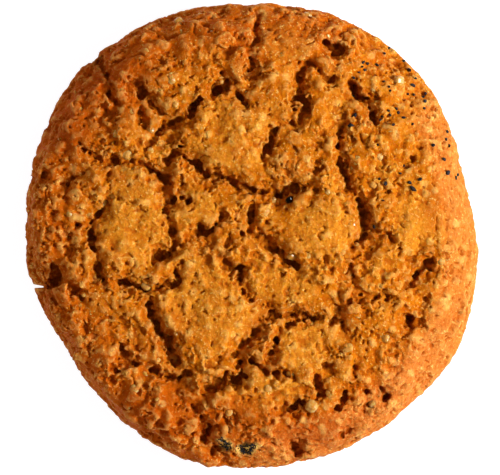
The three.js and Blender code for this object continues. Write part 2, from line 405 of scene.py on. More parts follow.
def ragged(points, swings):
    """Places shifted here and there, by these sizes and swings, so that what is drawn there is ragged."""
    shifted = points.copy()
    for seed, (size, swing) in enumerate(swings):
        for axis in range(points.shape[1]):
            shifted[:, axis] += swing * swell(points, size, 1 + seed + 10 * axis)
    return shifted


def cells(points, size, seed):
    """Splits space into lumps about that size. Gives each place its distance to the nearest and the second
    nearest middle of a lump, in lump sizes, and its own lump's middle and random level from -1 to 1."""
    table = np.random.default_rng(seed).random((LUMP_TABLE, 4))
    scaled = points / size
    corner = np.floor(scaled).astype(np.int64)
    nearest = np.full(len(points), np.inf)
    second = nearest.copy()
    middle = scaled.copy()
    level = np.zeros(len(points))
    for step in np.ndindex(3, 3, 3):
        cell = corner + np.array(step) - 1
        key = np.bitwise_xor.reduce(cell * LUMP_FACTORS, axis=1) % LUMP_TABLE
        spot = cell + table[key, :3]
        away = np.linalg.norm(scaled - spot, axis=1)
        closer = away < nearest
        second = np.where(closer, nearest, np.minimum(second, away))
        nearest = np.where(closer, away, nearest)
        middle = np.where(closer[:, None], spot, middle)
        level = np.where(closer, 2 * table[key, 3] - 1, level)
    return nearest, second, middle * size, level


def broken_up(points, size, seed):
    """Places drawn towards the middles of the crumbs that they belong to, so that what is drawn there breaks
    along the outlines of crumbs, and a random level from -1 to 1 of each crumb."""
    bent = ragged(points, ((0.6 * size, 0.3 * size),))
    _, _, middle, lump = cells(bent, size, seed)
    return points + CRUMB_PULL * (middle - bent), lump


def spline(knots, steps):
    """Points along a smooth curve through the knots."""
    knots = np.array(knots, float)
    padded = np.vstack((knots[:1], knots, knots[-1:]))
    curve = []
    for step in range(steps + 1):
        place = step / steps * (len(knots) - 1)
        leg = min(int(place), len(knots) - 2)
        share = place - leg
        before, start, end, after = padded[leg:leg + 4]
        leave = (end - before) / 2
        arrive = (after - start) / 2
        curve.append(
            (2 * start - 2 * end + leave + arrive) * share**3
            + (-3 * start + 3 * end - 2 * leave - arrive) * share**2
            + leave * share
            + start
        )
    return np.array(curve)


def rim_radius(angles):
    """Radius of the outline in each direction, smooth between the stated radii."""
    count = len(RIM_RADII)
    wrapped = [(index - 2, RIM_RADII[(index - 2) % count]) for index in range(count + 4)]
    curve = spline(wrapped, (count + 3) * RIM_STEPS)
    return np.interp(np.mod(angles, 2 * math.pi) / (2 * math.pi) * count, curve[:, 0], curve[:, 1])


# Handling of meshes
def only(piece):
    """Selects one piece alone and makes it active."""
    bpy.ops.object.select_all(action="DESELECT")
    piece.select_set(True)
    bpy.context.view_layer.objects.active = piece


def add(primitive, **settings):
    """Adds a primitive by its operator, as the only thing selected."""
    bpy.ops.object.select_all(action="DESELECT")
    primitive(**settings)
    return bpy.context.object


def rows(items, name):
    """The vectors that mesh items hold under that name, one in each row."""
    values = np.empty(len(items) * 3, np.float32)
    items.foreach_get(name, values)
    return values.reshape(-1, 3).astype(float)


def coordinates(piece):
    return rows(piece.data.vertices, "co")


def normals(piece):
    return rows(piece.data.vertex_normals, "vector")


def move_to(piece, points):
    piece.data.vertices.foreach_set("co", points.astype(np.float32).ravel())
    piece.data.update()


def posed(points, pose):
    """Places turned, stretched and moved by a pose."""
    return points @ np.array(pose.to_3x3()).T + np.array(pose.translation)


def finish_with(piece, kind, **settings):
    """Adds a modifier with these settings and applies it."""
    only(piece)
    modifier = piece.modifiers.new(kind.lower(), kind)
    for name, value in settings.items():
        setattr(modifier, name, value)
    bpy.ops.object.modifier_apply(modifier=modifier.name)


def drawn_up(rings, sides):
    """A disc drawn up ring by ring, each ring with its radius and height."""
    radius, height = rings[0]
    disc = {"vertices": sides, "radius": radius, "fill_type": "NGON", "location": (0, 0, height)}
    piece = add(bpy.ops.mesh.primitive_circle_add, **disc)
    bpy.ops.object.transform_apply()
    bpy.ops.object.mode_set(mode="EDIT")
    bpy.ops.mesh.select_all(action="SELECT")
    for below, above in zip(rings, rings[1:]):
        taper = above[0] / below[0]
        bpy.ops.mesh.extrude_region_move(TRANSFORM_OT_translate={"value": (0, 0, above[1] - below[1])})
        bpy.ops.transform.resize(value=(taper, taper, 1))
    bpy.ops.mesh.select_all(action="SELECT")
    bpy.ops.mesh.normals_make_consistent(inside=False)
    bpy.ops.object.mode_set(mode="OBJECT")
    return piece


def smoothed(piece, vectors, rounds):
    """Vectors kept at each vertex, each made the mean of those round it that many times."""
    edges = np.empty(len(piece.data.edges) * 2, np.int32)
    piece.data.edges.foreach_get("vertices", edges)
    first, second = edges.reshape(-1, 2).T
    count = np.bincount(edges, minlength=len(vectors)).astype(float)
    for _ in range(rounds):
        total = np.zeros_like(vectors)
        for axis in range(3):
            total[:, axis] = np.bincount(first, vectors[second, axis], len(vectors))
            total[:, axis] += np.bincount(second, vectors[first, axis], len(vectors))
        vectors = total / count[:, None]
    return vectors


def broad_normals(piece):
    """Which way the crust faces at each vertex, with its small lumps left out."""
    facing = smoothed(piece, normals(piece), rounds=30)
    return facing / np.linalg.norm(facing, axis=1)[:, None]


def hollowness(piece, rounds):
    """How far each vertex lies below the mean of those round it, in millimetres: above 0 in hollows."""
    points = coordinates(piece)
    return np.einsum("ij,ij->i", smoothed(piece, points, rounds) - points, normals(piece))


def store(piece, name, values):
    """Keeps one number for each vertex, for the piece's material to read."""
    layer = piece.data.attributes.new(name, "FLOAT", "POINT")
    layer.data.foreach_set("value", np.asarray(values, np.float32))


# Where the crust is cracked, charred, swollen, smooth or toasted
def legs_of(routes):
    """Straight legs of routes in the photograph, set on the biscuit: two ends and the widths there."""
    for route in routes:
        places = on_biscuit(route)
        widths = np.array(route, float)[:, 2] * PIXEL_MM
        yield from zip(places, places[1:], widths, widths[1:])


def pit_routes():
    """The single pits as short routes, each lying its own way and narrower at one end."""
    draw = random.Random(5)
    for x, y, width in PITS:
        angle = draw.uniform(0, math.pi)
        along = PIT_HALF_LENGTH * width * np.array((math.cos(angle), math.sin(angle)))
        wide, narrow = PIT_ENDS
        yield (x - along[0], y - along[1], wide * width), (x + along[0], y + along[1], narrow * width)


def crack_legs():
    """The legs of all cracks and pits, each with its depth beside that of a crack of its width."""
    for leg in legs_of(CRACKS.values()):
        yield 1, leg
    for leg in legs_of(pit_routes()):
        yield PIT_DEPTH, leg


def distance_to_leg(plan, start, end, wide, wide_end):
    """Distance of each place to a straight leg of a route, and the route's width at the nearest point."""
    leg = end - start
    span = max(leg @ leg, 1e-9)
    share = np.clip((plan - start) @ leg / span, 0, 1)
    away = np.linalg.norm(plan - start - share[:, None] * leg, axis=1)
    return away, wide + share * (wide_end - wide)


def fraying(width):
    """How much of the fray a crack of that width has: narrow ones have less."""
    return at_least(0.45, np.minimum(1, width / 0.9))


def crack_bottom(width):
    """Depth of a crack of that width, which grows fast while it is narrow and slowly when it is wide."""
    return np.minimum(1.25 + 0.45 * width, 0.2 + 1.8 * width)


def valley_bottom(width):
    """Depth of the valley that a crack of that width lies in."""
    return 0.2 + 0.55 * np.minimum(1, width)


def crack_depth(points):
    """Depth of the cracks and pits below the plates, and of the shallow valleys that they lie in."""
    level, lump = broken_up(points * FLAT, CRACK_CRUMB, seed=81)
    plan = ragged(level, CRACK_BENDS)[:, :2]
    fray = swells(level, CRACK_FRAYS, seed=21)
    lip = CRACK_LIP + LIP_SWING * smoothstep(swell(level, 3, seed=24), -0.2, 0.4)
    openness = CRACK_OPENNESS + OPENNESS_SWING * swell(level, 2.4, seed=26)
    crack = np.zeros(len(level))
    valley = np.zeros(len(level))
    for deep, (start, end, wide, wide_end) in crack_legs():
        reach = max(wide, wide_end) / 2 + CRACK_REACH
        inside = (plan > np.minimum(start, end) - reach) & (plan < np.maximum(start, end) + reach)
        near = np.flatnonzero(inside.all(axis=1))
        away, width = distance_to_leg(plan[near], start, end, wide, wide_end)
        half = np.maximum(openness[near] * width / 2, CRACK_HALF_WIDTH)
        gap = away - half + fray[near] * fraying(width)
        depth = deep * crack_bottom(width) * (1 - smoothstep(gap, -CRACK_SLOPE * width, lip[near]))
        crack[near] = np.maximum(crack[near], depth)
        hollow = deep * valley_bottom(width) * (1 - smoothstep(gap, -0.2, VALLEY_REACH))
        valley[near] = np.maximum(valley[near], hollow)
    return crack * (0.95 + 0.4 * swell(level, 1.7, seed=25) + 0.22 * lump), valley


def char_share(points):
    """From 0 on plain crust to 1 in the middle of a charred patch."""
    plan = ragged(points * FLAT, CHAR_BENDS)[:, :2]
    share = np.zeros(len(plan))
    for start, end, wide, wide_end in legs_of(CHARS.values()):
        away, width = distance_to_leg(plan, start, end, wide, wide_end)
        share = np.maximum(share, 1 - smoothstep(away - width / 2, -CHAR_EDGE, CHAR_EDGE))
    return share


def broad_swells(plan):
    """Height of the broad hollows and swells."""
    height = np.zeros(len(plan))
    for x, y, reach, rise in SWELLS:
        away = np.linalg.norm(plan - on_biscuit((x, y)), axis=1)
        height += rise * np.exp(-((away / (reach * PIXEL_MM)) ** 2))
    return height


def patch_share(plan, patches, inner):
    """From 0 just outside the patches to 1 within that share of a patch's reach."""
    share = np.zeros(len(plan))
    for x, y, across, along in patches:
        offset = (plan - on_biscuit((x, y))) / (across * PIXEL_MM, along * PIXEL_MM)
        share = np.maximum(share, 1 - smoothstep(np.linalg.norm(offset, axis=1), inner, PATCH_OUTER))
    return share


def plate_share(plan):
    """From 0 on crumbly crust to 1 in the middle of a smooth plate."""
    return patch_share(plan, PLATES, PLATE_INNER)


def smooth_shoulder(points):
    """From 0 to 1 where the crust is smooth: round the shoulder on the right and the lower right."""
    radius = np.hypot(points[:, 0], points[:, 1])
    return towards(points, SMOOTH_SIDE, 0.2, 0.75) * smoothstep(radius, *SMOOTH_RADII)


def top_share(outward):
    """From 0 on the sides to 1 on the top, by which way the crust faces."""
    return smoothstep(outward[:, 2], 0.1, 0.6)


def crumbliness(points, outward):
    """From 1 on broken crust to about a quarter on smooth plates, and a fifth as much on the sides."""
    plate = PLATE_SMOOTHNESS * plate_share(points[:, :2])
    smooth = np.maximum(plate, SHOULDER_SMOOTHNESS * smooth_shoulder(points))
    return (1 - smooth) * at_least(0.2, top_share(outward))


# Relief of the crust
def crumbs(points, octaves, seed):
    """Height of lumpy crust: for each size and rise, lumps with round backs and sharp creases."""
    height = np.zeros(len(points))
    for index, (size, rise) in enumerate(octaves):
        height += 2 * rise * (np.abs(swell(points, size, seed + index)) - 0.2)
    return height


def torn(points, seed):
    """Depth of the hollows where thin layers of crust are torn off, each with a ragged and steep edge."""
    broken, _ = broken_up(points, TORN_CRUMB, seed)
    layers = np.clip(swells(broken, TEARS, seed) / TEAR_STEP - TEAR_START, 0, TEAR_LAYERS)
    whole = np.floor(layers)
    return TEAR_STEP * (whole + smoothstep(layers - whole, 0, TEAR_EDGE))


def holes(points, size, depth, rare, seed):
    """Depth of ragged holes about that size in the crust: the higher rare is, the fewer there are."""
    openness = swells(points, ((size, 1), (0.45 * size, 0.5)), seed)
    return depth * smoothstep(openness, rare, rare + 0.2)


def lost_crumbs(points, size, depth, share, seed):
    """Depth of the angular holes that single lost crumbs leave, more of them in some places than others."""
    bent = ragged(points, ((size, 0.35 * size), (0.4 * size, 0.15 * size)))
    nearest, second, middle, level = cells(bent, size, seed)
    gone = level > 1 - 2 * share * (1 + 1.5 * swell(middle, 4, seed + 1))
    return depth * gone * smoothstep(second - nearest, 0, 0.3)


def slits(points, size, depth, seed):
    """Depth of short thin tears in the crust, about that far apart."""
    tear = np.abs(swell(ragged(points, ((0.7, 0.12),)), size, seed))
    open_here = smoothstep(swell(points, 0.7 * size, seed + 1), 0.2, 0.4)
    return depth * (1 - smoothstep(tear, 0.01, 0.14)) * open_here


def buried_grains(points):
    """From 0 to 1 in the middle of each sugar grain just under the crust, in about a third of the spaces."""
    nearest, _, _, level = cells(points * FLAT, BURIED_SPACE, seed=61)
    return (level < -0.3) * np.maximum(0, 1 - (nearest / BURIED_HALF_WIDTH) ** 2)


def round_grains(points):
    """From 0 in the creases between the round grains of the crust to about 1 on their backs."""
    nearest, _, _, level = cells(ragged(points, ((0.7, 0.15),)), CRUST_GRAIN, seed=91)
    return (1 + 0.4 * level) * np.maximum(0, 1 - (nearest / 0.7) ** 2)


# Crust
def dough_round():
    """The plain dough: a disc drawn up along the half section and shaped to the outline."""
    dough = drawn_up(spline(SECTION, SECTION_STEPS), ROUND_SIDES)
    dough.name = "biscuit_crust"
    points = coordinates(dough)
    full = towards(points, FULL_SIDE, 0.4, 0.9)
    full *= np.exp(-(((points[:, 2] - SHOULDER_HEIGHT) / FULL_HEIGHT) ** 2))
    points[:, :2] *= (rim_radius(direction(points)) / MEAN_RADIUS * (1 + FULLNESS * full))[:, None]
    move_to(dough, points)
    return dough


def swell_up(dough):
    """Raises the broad swells and lumps of the dough."""
    points = coordinates(dough)
    outward = normals(dough)
    height = swells(points, DOUGH_SWELLS, seed=6)
    height += broad_swells(points[:, :2])
    height *= at_least(0.3, top_share(outward))
    height += BURIED_RISE * buried_grains(points)
    height += crumbliness(points, outward) * crumbs(ragged(points, LUMP_BENDS), DOUGH_LUMPS, seed=51)
    move_to(dough, points + outward * (height * above_base(points))[:, None])


def open_cracks(crust):
    """Sinks the cracks, pits and holes into the crust, straight down on the top and inwards on the sides."""
    points = coordinates(crust)
    outward = normals(crust)
    broken, _ = broken_up(points, TORN_CRUMB, seed=83)
    crack, valley = crack_depth(points)
    depth = valley + crack
    depth += crumbliness(points, outward) * holes(broken, size=1.6, depth=0.55, rare=0.7, seed=41)
    upward = smoothstep(outward[:, 2], 0.1, 0.5)[:, None]
    away = upward * np.array(UP) + (1 - upward) * outward
    move_to(crust, points - away * (depth * above_base(points))[:, None])


def crumble(crust):
    """Gives the crust its crumbs and pores, on the walls of the cracks too."""
    points = coordinates(crust)
    outward = normals(crust)
    fade = above_base(points)
    crumbly = at_least(0.25, crumbliness(points, outward))
    lost = at_least(0.4, crumbly) * lost_crumbs(points, size=0.45, depth=0.4, share=0.036, seed=73)
    height = crumbly * crumbs(points, CRUST_CRUMBS, seed=55)
    height -= slits(points, size=1.6, depth=0.4, seed=45) + lost
    height += GRAIN_RISE * (round_grains(points) - 0.5)
    moved = points + outward * (height * fade)[:, None]
    moved -= broad_normals(crust) * (crumbly * torn(points, seed=33) * fade)[:, None]
    moved[:, 2] = np.maximum(moved[:, 2], 0)
    move_to(crust, moved)


def keep_outer_shell(crust):
    """Drops the walls of hollows that fusing has sealed, and loose scraps."""
    name = crust.name
    only(crust)
    bpy.ops.object.mode_set(mode="EDIT")
    bpy.ops.mesh.select_all(action="SELECT")
    bpy.ops.mesh.separate(type="LOOSE")
    bpy.ops.object.mode_set(mode="OBJECT")
    shells = list(bpy.context.selected_objects)
    largest = max(shells, key=lambda shell: len(shell.data.vertices))
    for shell in shells:
        if shell is not largest:
            bpy.data.objects.remove(shell)
    largest.name = name
    return largest


def split_rim(crust):
    """Cuts the slit in the rim with a wedge that runs through the whole height."""
    (open_x, open_y), (closed_x, closed_y) = on_biscuit(RIM_SLIT)
    length = math.hypot(closed_x - open_x, closed_y - open_y)
    open_width = RIM_SLIT[0][2] * PIXEL_MM
    closed_width = RIM_SLIT[1][2] * PIXEL_MM
    wedge = add(bpy.ops.mesh.primitive_cube_add, size=1, scale=(length, open_width, 4 * CROWN_HEIGHT))
    bpy.ops.object.transform_apply()
    points = coordinates(wedge)
    points[points[:, 0] > 0, 1] *= closed_width / open_width
    angle = math.atan2(closed_y - open_y, closed_x - open_x)
    middle = ((open_x + closed_x) / 2, (open_y + closed_y) / 2, 0)
    move_to(wedge, posed(points, Matrix.Translation(middle) @ Matrix.Rotation(angle, 4, "Z")))
    finish_with(crust, "BOOLEAN", operation="DIFFERENCE", object=wedge, solver="MANIFOLD")
    bpy.data.objects.remove(wedge)


def thin_out(crust):
    """Joins small faces until the crust has the triangles that it keeps."""
    crust.data.calc_loop_triangles()
    share = CRUST_TRIANGLES / len(crust.data.loop_triangles)
    finish_with(crust, "DECIMATE", ratio=min(1, share), use_collapse_triangulate=True)


def store_browning_and_shade(crust):
    """Stores what the finish of the crust needs to know of each place."""
    points = coordinates(crust)
    plan = points[:, :2]
    fade = above_base(points)
    crack, valley = crack_depth(points)
    outwards = np.hypot(points[:, 0], points[:, 1]) / rim_radius(direction(points))
    painted_sheen = SHEEN_PALENESS * towards(points, SHEEN_SIDE, 0.5, 0.95)
    # The crack, valley and hollow measures set painted shade in the finish, and fine_hollow also painted
    # highlight on ridges
    store(crust, "crack", np.clip(crack / 2, 0, 1) * fade)
    store(crust, "valley", valley * fade)
    store(crust, "char", char_share(points) * fade)
    store(crust, "plate", plate_share(plan) * fade)
    store(crust, "shoulder", smooth_shoulder(points) * fade)
    # Rim browning, left off the lit side, where the rim carries a painted sheen instead
    store(crust, "edge", smoothstep(outwards, 0.55, 1) * (1 - painted_sheen))
    store(crust, "dark_patch", patch_share(plan, DARK_PATCHES, DARK_PATCH_INNER))
    store(crust, "grain", buried_grains(points) * smoothstep(normals(crust)[:, 2], 0.3, 0.7) * fade)
    store(crust, "fine_hollow", hollowness(crust, rounds=6))
    store(crust, "wide_hollow", hollowness(crust, rounds=40))


def baked_crust():
    """The dough, swollen, covered with flakes and crumbs, cracked, crumbled and split at the rim."""
    draw = random.Random(31)
    crust = dough_round()
    finish_with(crust, "REMESH", mode="VOXEL", voxel_size=DOUGH_VOXEL)
    swell_up(crust)
    fuse(crust, lying_flakes, draw)
    fuse(crust, standing_crumbs, draw)
    finish_with(crust, "REMESH", mode="VOXEL", voxel_size=FLAKE_VOXEL)
    open_cracks(crust)
    fuse(crust, edge_crumbs, draw)
    finish_with(crust, "REMESH", mode="VOXEL", voxel_size=CRUMB_VOXEL)
    crust = keep_outer_shell(crust)
    crumble(crust)
    split_rim(crust)
    thin_out(crust)
    store_browning_and_shade(crust)
    only(crust)
    bpy.ops.object.shade_smooth()
    return crust


# Flakes, crumbs, grains and specks on the crust
def surface_of(crust):
    """A tree that finds where a line from above meets the crust."""
    mesh = crust.data
    mesh.calc_loop_triangles()
    corners = np.empty(len(mesh.loop_triangles) * 3, np.int32)
    mesh.loop_triangles.foreach_get("vertices", corners)
    return BVHTree.FromPolygons(coordinates(crust).tolist(), corners.reshape(-1, 3).tolist())


def landing(surface, x, y):
    """Where a thing dropped there, or a little nearer the middle, meets the crust, and the slope there."""
    above = Vector((x, y, DROP_HEIGHT))
    place = None
    while place is None:
        place, slope, _, _ = surface.ray_cast(above, DOWN)
        above.xy *= DROP_INWARDS
    return place, slope


def scatter(name, shapes, poses):
    """One piece of many copies of these shapes in turn, each copy at its own pose."""
    points = [coordinates(shape) for shape in shapes]
    faces = [[tuple(face.vertices) for face in shape.data.polygons] for shape in shapes]
    all_points = []
    all_faces = []
    for index, pose in enumerate(poses):
        start = len(all_points)
        kind = index % len(shapes)
        all_points.extend(posed(points[kind], pose).tolist())
        all_faces.extend(tuple(corner + start for corner in face) for face in faces[kind])
    mesh = bpy.data.meshes.new(name)
    mesh.from_pydata(all_points, [], all_faces)
    mesh.update()
    piece = bpy.data.objects.new(name, mesh)
    bpy.context.scene.collection.objects.link(piece)
    for shape in shapes:
        bpy.data.objects.remove(shape)
    return piece


def pose_at(place, turn, size):
    return Matrix.Translation(place) @ turn.to_matrix().to_4x4() @ Matrix.Diagonal((*size, 1))


def any_turn(draw):
    return Euler([draw.uniform(-math.pi, math.pi) for _ in range(3)])


def uneven(width, spans, draw):
    """A size for each of three directions, at random within these shares of a width."""
    return [width * draw.uniform(*span) for span in spans]


def crumb_shape(swing, size, seed):
    """An angular crumb about one millimetre wide."""
    crumb = add(bpy.ops.mesh.primitive_ico_sphere_add, subdivisions=2, radius=0.5)
    move_to(crumb, lumpy(coordinates(crumb), swing, size, seed))
    return crumb


def flake_shape(seed):
    """An angular flake of crust, flat on top, about one millimetre wide and thick."""
    flake = drawn_up(FLAKE_SECTION, FLAKE_CORNERS)
    points = coordinates(flake)
    points[:, :2] *= (1 + 0.8 * swell(points * FLAT, 0.28, seed))[:, None]
    move_to(flake, points)
    return flake


def top_places(draw, count):
    """Places spread at random over the top, fewer of them on the smooth plates and on the smooth shoulder."""
    places = []
    while len(places) < count:
        angle = draw.uniform(-math.pi, math.pi)
        radius = TOP_REACH * float(rim_radius(angle)) * math.sqrt(draw.random())
        place = np.array([(radius * math.cos(angle), radius * math.sin(angle))])
        bare = max(PLATE_BARENESS * plate_share(place)[0], SHOULDER_BARENESS * smooth_shoulder(place)[0])
        if draw.random() > bare:
            places.append(place[0])
    return places


def edge_places(draw):
    """Places along both edges of every crack, which bend as the cracks do."""
    places = []
    for start, end, wide, wide_end in legs_of(CRACKS.values()):
        leg = end - start
        length = math.hypot(*leg)
        across = np.array((-leg[1], leg[0])) / max(length, 1e-9)
        for _ in range(round(length / EDGE_CRUMB_STEP)):
            share = draw.random()
            half = (wide + share * (wide_end - wide)) / 2
            for side in (-1, 1):
                aside = half * draw.uniform(0.5, 1) + draw.gauss(0.2, 0.2)
                places.append(start + share * leg + side * across * aside)
    places = np.array(places)
    level = np.column_stack((places, np.zeros(len(places))))
    return list(places - (ragged(level, CRACK_BENDS)[:, :2] - places))


def lying_flakes(surface, draw):
    """Flakes that lie on the crust, each a little tilted and mostly sunk in it."""
    poses = []
    for x, y in top_places(draw, TOP_FLAKES):
        place, slope = landing(surface, x, y)
        width = draw.uniform(*FLAKE_WIDTHS)
        tilt = Vector((draw.gauss(0, FLAKE_TILT), draw.gauss(0, FLAKE_TILT), 0))
        turn = (slope + UP + tilt).to_track_quat("Z", "Y").to_matrix().to_4x4()
        spin = Matrix.Rotation(draw.uniform(-math.pi, math.pi), 4, "Z")
        stretch = Matrix.Diagonal((width, width * draw.uniform(0.55, 1), FLAKE_THICKNESS, 1))
        sunk = place - slope * (0.5 * FLAKE_THICKNESS - draw.uniform(0, FLAKE_RISE))
        poses.append(Matrix.Translation(sunk) @ turn @ spin @ stretch)
    return scatter("flakes", [flake_shape(seed=90 + kind) for kind in range(FLAKE_SHAPES)], poses)


def crumbs_at(places, surface, draw):
    """Crumbs up to a millimetre wide, each turned at random and partly sunk in the crust."""
    poses = []
    for x, y in places:
        place, slope = landing(surface, x, y)
        width = at_least(LEAST_CRUMB, draw.random() ** 2)
        size = uneven(width, CRUMB_SPANS, draw)
        poses.append(pose_at(place - slope * draw.uniform(*CRUMB_SUNK) * width, any_turn(draw), size))
    shapes = [crumb_shape(swing=0.7, size=0.45, seed=80 + kind) for kind in range(CRUMB_SHAPES)]
    return scatter("crumbs", shapes, poses)


def standing_crumbs(surface, draw):
    return crumbs_at(top_places(draw, TOP_CRUMBS), surface, draw)


def edge_crumbs(surface, draw):
    return crumbs_at(edge_places(draw), surface, draw)


def fuse(crust, scattered, draw):
    """Joins scattered flakes or crumbs to the crust, which the next remesh makes one body with it."""
    loose = scattered(surface_of(crust), draw)
    only(crust)
    loose.select_set(True)
    bpy.ops.object.join()


def sugar_grains(surface):
    """Coarse sugar: rounded crystals sunk in the crust, large where they stand out and smaller elsewhere."""
    draw = random.Random(7)
    crystal = add(bpy.ops.mesh.primitive_cube_add, size=1)
    finish_with(crystal, "BEVEL", width=0.3, segments=2, limit_method="NONE")
    finish_with(crystal, "CAST", cast_type="SPHERE", factor=0.4)
    places = [tuple(place) for place in on_biscuit(SUGAR_PLACES)]
    while len(places) < len(SUGAR_PLACES) + MORE_SUGAR:
        radius = SUGAR_RADIUS * math.sqrt(draw.random())
        angle = draw.uniform(-math.pi, math.pi)
        places.append((radius * math.cos(angle), radius * math.sin(angle)))
    poses = []
    for index, (x, y) in enumerate(places):
        place, slope = landing(surface, x, y)
        width = draw.uniform(*(LARGE_SUGAR if index < len(SUGAR_PLACES) else SMALL_SUGAR))
        size = uneven(width, SUGAR_SPANS, draw)
        poses.append(pose_at(place - slope * SUGAR_SUNK * width, any_turn(draw), size))
    return scatter("sugar_grains", [crystal], poses)


def spice_specks(surface):
    """Dark specks of spice, and black crumbs on the charred patches."""
    draw = random.Random(19)
    places = [(*on_biscuit((x, y)), SPECK_SCALE * width * PIXEL_MM) for x, y, width in SPECK_PLACES]
    for start, end, wide, wide_end in legs_of(CHARS.values()):
        for _ in range(CHAR_CRUMBS):
            share = draw.random()
            x, y = start + share * (end - start)
            spread = 0.3 * (wide + share * (wide_end - wide))
            places.append((draw.gauss(x, spread), draw.gauss(y, spread), draw.uniform(*CHAR_CRUMB_WIDTHS)))
    poses = []
    for x, y, width in places:
        place, slope = landing(surface, x, y)
        size = uneven(width, SPECK_SPANS, draw)
        poses.append(pose_at(place + slope * SPECK_RISE * width, any_turn(draw), size))
    return scatter("spice_specks", [crumb_shape(swing=0.5, size=0.5, seed=8)], poses)


def spice_bead(surface):
    """One glossy dark bead in the valley under the crown."""
    bead = add(bpy.ops.mesh.primitive_uv_sphere_add, segments=32, ring_count=20, radius=0.5)
    place, _ = landing(surface, *on_biscuit(BEAD_PLACE))
    pose = pose_at(place + UP * BEAD_RISE, BEAD_TURN, BEAD_SIZE)
    move_to(bead, posed(lumpy(coordinates(bead), swing=0.12, size=0.6, seed=9), pose))
    bead.name = "spice_bead"
    only(bead)
    bpy.ops.object.shade_smooth()
    return bead


# Materials
class Finish:
    """A material under making: its nodes, and short ways to add and join them."""

    def __init__(self, name):
        self.material = bpy.data.materials.new(name)
        self.material.use_nodes = True
        self.nodes = self.material.node_tree.nodes
        self.shader = self.nodes["Principled BSDF"]

    def node(self, kind, inputs=None, **settings):
        made = self.nodes.new(kind)
        for name, value in settings.items():
            setattr(made, name, value)
        for name, value in (inputs or {}).items():
            self.feed(made.inputs[name], value)
        return made

    def feed(self, socket, value):
        """Joins a node's output to a socket, or sets the socket to a plain value."""
        if isinstance(value, bpy.types.NodeSocket):
            self.material.node_tree.links.new(value, socket)
        else:
            socket.default_value = value

    def texture(self, kind, size, **inputs):
        """A texture in space whose spots are about that many millimetres wide."""
        coords = self.node("ShaderNodeTexCoord").outputs["Object"]
        return self.node(kind, {"Vector": coords, "Scale": 1 / (size * MM), **inputs})

    def grain(self, size, detail=3, roughness=0.55):
        """Noise from about 0.3 to 0.7."""
        return self.texture("ShaderNodeTexNoise", size, Detail=detail, Roughness=roughness).outputs["Fac"]

    def lumps(self, size):
        """Round lumps: 0 in their middles and about 0.7 between them."""
        return self.texture("ShaderNodeTexVoronoi", size).outputs["Distance"]

    def attribute(self, name):
        return self.node("ShaderNodeAttribute", attribute_name=name).outputs["Fac"]

    def between(self, value, low, high, start=0, end=1):
        """From start where the value is low to end where it is high, with soft ends."""
        inputs = {"Value": value, "From Min": low, "From Max": high, "To Min": start, "To Max": end}
        return self.node("ShaderNodeMapRange", inputs, interpolation_type="SMOOTHSTEP").outputs["Result"]

    def mix(self, share, first, second):
        """A mix of two colours; the node's sockets share their names, so these go by number."""
        made = self.node("ShaderNodeMix", data_type="RGBA")
        for socket, value in ((0, share), (6, first), (7, second)):
            self.feed(made.inputs[socket], value)
        return made.outputs[2]

    def coat(self, base, mask, low, high, most, tint):
        """The base under a tint: none of it where the mask is low, and its most where the mask is high."""
        return self.mix(self.between(mask, low, high, 0, most), base, tint)

    def math(self, operation, first, second):
        made = self.node("ShaderNodeMath", operation=operation)
        self.feed(made.inputs[0], first)
        self.feed(made.inputs[1], second)
        return made.outputs[0]

    def bump(self, height, depth):
        return self.node("ShaderNodeBump", {"Height": height, "Distance": depth}).outputs["Normal"]

    def set(self, **inputs):
        """Sets the shader's inputs, named with underscores for spaces, and gives the finished material."""
        for name, value in inputs.items():
            self.feed(self.shader.inputs[name.replace("_", " ")], value)
        return self.material


def colour(red, green, blue):
    return (red, green, blue, 1)


# Toast is toasted crust and also painted shade in creases; ochre, crack brown and umber are painted shade;
# pale crumb is pale crumbs and painted highlight
GOLD = colour(0.54, 0.196, 0.011)
AMBER = colour(0.46, 0.127, 0.0015)
TOAST_AND_SHADE = colour(0.34, 0.053, 0.0006)
RUSSET = colour(0.42, 0.066, 0.0006)
OCHRE_SHADE = colour(0.35, 0.068, 0.001)
CRACK_SHADE = colour(0.23, 0.041, 0.0006)
UMBER_SHADE = colour(0.21, 0.046, 0.0015)
CHAR = colour(0.012, 0.009, 0.008)
PALE_CRUMB_AND_HIGHLIGHT = colour(0.76, 0.50, 0.13)
PALE_SHOULDER = colour(0.52, 0.172, 0.03)
BROWN_SUGAR = colour(0.55, 0.27, 0.05)
PALE_SUGAR = colour(0.62, 0.38, 0.115)
SPICE_BLACK = colour(0.006, 0.006, 0.008)
SPICE_BROWN = colour(0.03, 0.022, 0.02)
BEAD_BLACK = colour(0.004, 0.004, 0.004)
BEAD_BROWN = colour(0.012, 0.01, 0.008)
PAPER_GREY = colour(0.3, 0.3, 0.3)
PAPER_PALE = colour(0.32, 0.32, 0.32)
PAPER_GLOW = colour(0.93, 0.96, 1)


